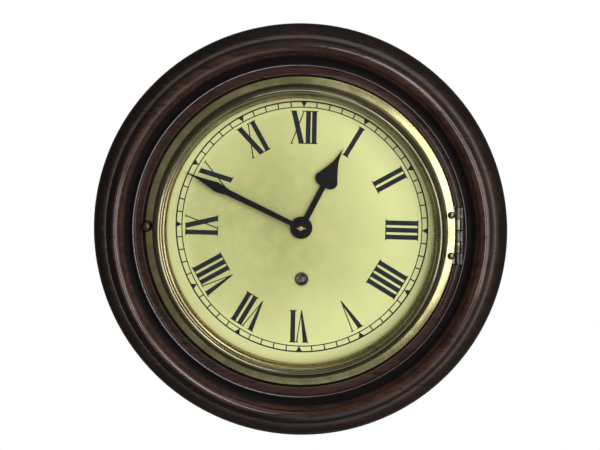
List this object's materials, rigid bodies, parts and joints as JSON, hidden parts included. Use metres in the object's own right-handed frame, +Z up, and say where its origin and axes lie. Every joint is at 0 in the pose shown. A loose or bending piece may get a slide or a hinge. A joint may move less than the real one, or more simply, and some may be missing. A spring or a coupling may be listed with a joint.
{
  "type": "wall dial clock",
  "caption": "Round hardwood wall dial clock with a hinged brass bezel, spade hands and a pendulum movement behind the dial.",
  "frame": {"origin": "on the wall plane at the back of the backboard, on the axis of the hands", "axes": "+X to the viewer's right, +Z up, +Y into the wall; the dial looks along -Y"},
  "size_m": [0.3048, 0.0952, 0.3048],
  "materials": {
    "mahogany": "dark French polish",
    "box_wood": "plain stained wood",
    "bezel_brass": "old lacquered cast brass",
    "dark_brass": "darkened brass",
    "dial_finish": "satin lacquer with black figures",
    "bezel_glass": "clear flat glass",
    "black_enamel": "black gloss",
    "movement_brass": "brushed",
    "movement_steel": "polished steel"
  },
  "bodies": {
    "case": {"surround": "mahogany", "backboard": "box_wood", "case_top": "mahogany", "case_left_side": "mahogany", "case_right_side": "mahogany", "case_bottom": "mahogany", "surround_blocks": "box_wood", "case_pegs": "box_wood", "hanging_plate": "movement_brass", "door_hinge_fixed_leaves": "movement_brass", "door_hinge_pins": "movement_steel", "turn_button_screws": "movement_steel", "dial_plate": "dial_finish", "dial_screws": "movement_brass", "bezel_hinge_fixed_leaf": "bezel_brass", "bezel_hinge_pin": "movement_steel", "front_plate": "movement_brass", "back_plate": "movement_brass", "plate_pillars": "movement_brass", "pillar_nuts": "movement_steel", "click_spring": "movement_steel", "front_plate_studs": "movement_steel", "back_cock": "movement_brass"},
    "bezel": {"bezel": "bezel_brass", "bezel_glass": "bezel_glass", "sight_ring": "bezel_brass", "bezel_knob": "dark_brass", "bezel_hinge_moving_leaf": "bezel_brass", "bezel_hinge_rivets": "dark_brass"},
    "side_door": {"side_door": "mahogany", "side_door_leaves": "movement_brass"},
    "bottom_door": {"bottom_door": "mahogany", "bottom_door_leaf": "movement_brass"},
    "side_turn_button": {"side_turn_button": "movement_brass"},
    "bottom_turn_button": {"bottom_turn_button": "movement_brass"},
    "centre_arbor": {"centre_arbor": "movement_steel", "centre_wheel": "movement_brass", "cannon_pinion": "movement_steel", "minute_hand": "black_enamel", "hand_collet": "movement_brass", "hand_pin": "movement_steel"},
    "hour_wheel": {"hour_wheel": "movement_brass", "hour_hand": "black_enamel"},
    "minute_wheel": {"minute_wheel": "movement_brass"},
    "third_wheel": {"third_wheel": "movement_brass"},
    "escape_wheel": {"escape_wheel": "movement_brass"},
    "intermediate_wheel": {"intermediate_wheel": "movement_brass"},
    "barrel": {"barrel": "movement_brass", "barrel_cap": "movement_brass", "mainspring": "movement_steel"},
    "barrel_arbor": {"barrel_arbor": "movement_steel", "ratchet_wheel": "movement_steel"},
    "click": {"click": "movement_steel"},
    "pendulum": {"pendulum_rod": "movement_steel", "pendulum_bob": "movement_brass", "rating_nut": "movement_brass", "suspension_spring": "movement_steel"},
    "pallets": {"pallet_arbor": "movement_steel", "anchor": "movement_steel", "crutch": "movement_steel"}
  },
  "joints": [
    {"name": "bezel_hinge", "type": "hinge", "parent": "case", "child": "bezel", "pos_m": [0.1149, -0.0834, -0.0048], "axis": [0, 0, 1], "range_deg": [0, 105]},
    {"name": "side_door_hinge", "type": "hinge", "parent": "case", "child": "side_door", "pos_m": [0.0921, -0.0165, -0.0028], "axis": [0, 0, 1], "range_deg": [0, 95]},
    {"name": "bottom_door_hinge", "type": "hinge", "parent": "case", "child": "bottom_door", "pos_m": [-0.0015, -0.0165, -0.1454], "axis": [1, 0, 0], "range_deg": [0, 90]},
    {"name": "side_button_turn", "type": "hinge", "parent": "case", "child": "side_turn_button", "pos_m": [0.0905, -0.0545, -0.0028], "axis": [-1, 0, 0], "range_deg": [0, 90]},
    {"name": "bottom_button_turn", "type": "hinge", "parent": "case", "child": "bottom_turn_button", "pos_m": [-0.0015, -0.0605, -0.1438], "axis": [0, 0, 1], "range_deg": [0, 90]},
    {"name": "minute_hand_turn", "type": "hinge", "parent": "case", "child": "centre_arbor", "pos_m": [0, -0.05, 0], "axis": [0, 1, 0], "continuous": true},
    {"name": "hour_hand_turn", "type": "hinge", "parent": "case", "child": "hour_wheel", "pos_m": [0, -0.05, 0], "axis": [0, 1, 0], "continuous": true},
    {"name": "minute_wheel_turn", "type": "hinge", "parent": "case", "child": "minute_wheel", "pos_m": [-0.0168, -0.05, 0], "axis": [0, 1, 0], "continuous": true},
    {"name": "third_wheel_turn", "type": "hinge", "parent": "case", "child": "third_wheel", "pos_m": [0.01166, -0.05, 0.02029], "axis": [0, 1, 0], "continuous": true},
    {"name": "escape_wheel_turn", "type": "hinge", "parent": "case", "child": "escape_wheel", "pos_m": [0, -0.05, 0.034], "axis": [0, 1, 0], "continuous": true},
    {"name": "intermediate_wheel_turn", "type": "hinge", "parent": "case", "child": "intermediate_wheel", "pos_m": [0.01632, -0.05, -0.0192], "axis": [0, 1, 0], "continuous": true},
    {"name": "barrel_turn", "type": "hinge", "parent": "case", "child": "barrel", "pos_m": [0, -0.05, -0.0384], "axis": [0, 1, 0], "continuous": true},
    {"name": "winding", "type": "hinge", "parent": "case", "child": "barrel_arbor", "pos_m": [0, -0.05, -0.0384], "axis": [0, 1, 0], "range_deg": [0, 1800]},
    {"name": "click_lift", "type": "hinge", "parent": "case", "child": "click", "pos_m": [-0.01299, -0.068, -0.0309], "axis": [0, -1, 0], "range_deg": [0, 8], "stiffness_Nm_per_rad": 0.01, "springref_deg": -5.73},
    {"name": "pendulum_swing", "type": "hinge", "parent": "case", "child": "pendulum", "pos_m": [0, -0.02, 0.0505], "axis": [0, 1, 0], "range_deg": [-3.5, 3.5]},
    {"name": "pallets_swing", "type": "hinge", "parent": "case", "child": "pallets", "pos_m": [0, -0.05, 0.0505], "axis": [0, 1, 0], "range_deg": [-3.6, 3.6]}
  ],
  "couplings": [
    {"joint": "hour_hand_turn", "follows": "minute_hand_turn", "ratio": 0.083333},
    {"joint": "minute_wheel_turn", "follows": "minute_hand_turn", "ratio": -0.33333},
    {"joint": "third_wheel_turn", "follows": "minute_hand_turn", "ratio": -12},
    {"joint": "escape_wheel_turn", "follows": "minute_hand_turn", "ratio": 132},
    {"joint": "intermediate_wheel_turn", "follows": "minute_hand_turn", "ratio": -0.16667},
    {"joint": "barrel_turn", "follows": "minute_hand_turn", "ratio": 0.027778},
    {"joint": "pallets_swing", "follows": "pendulum_swing", "ratio": 1}
  ]
}
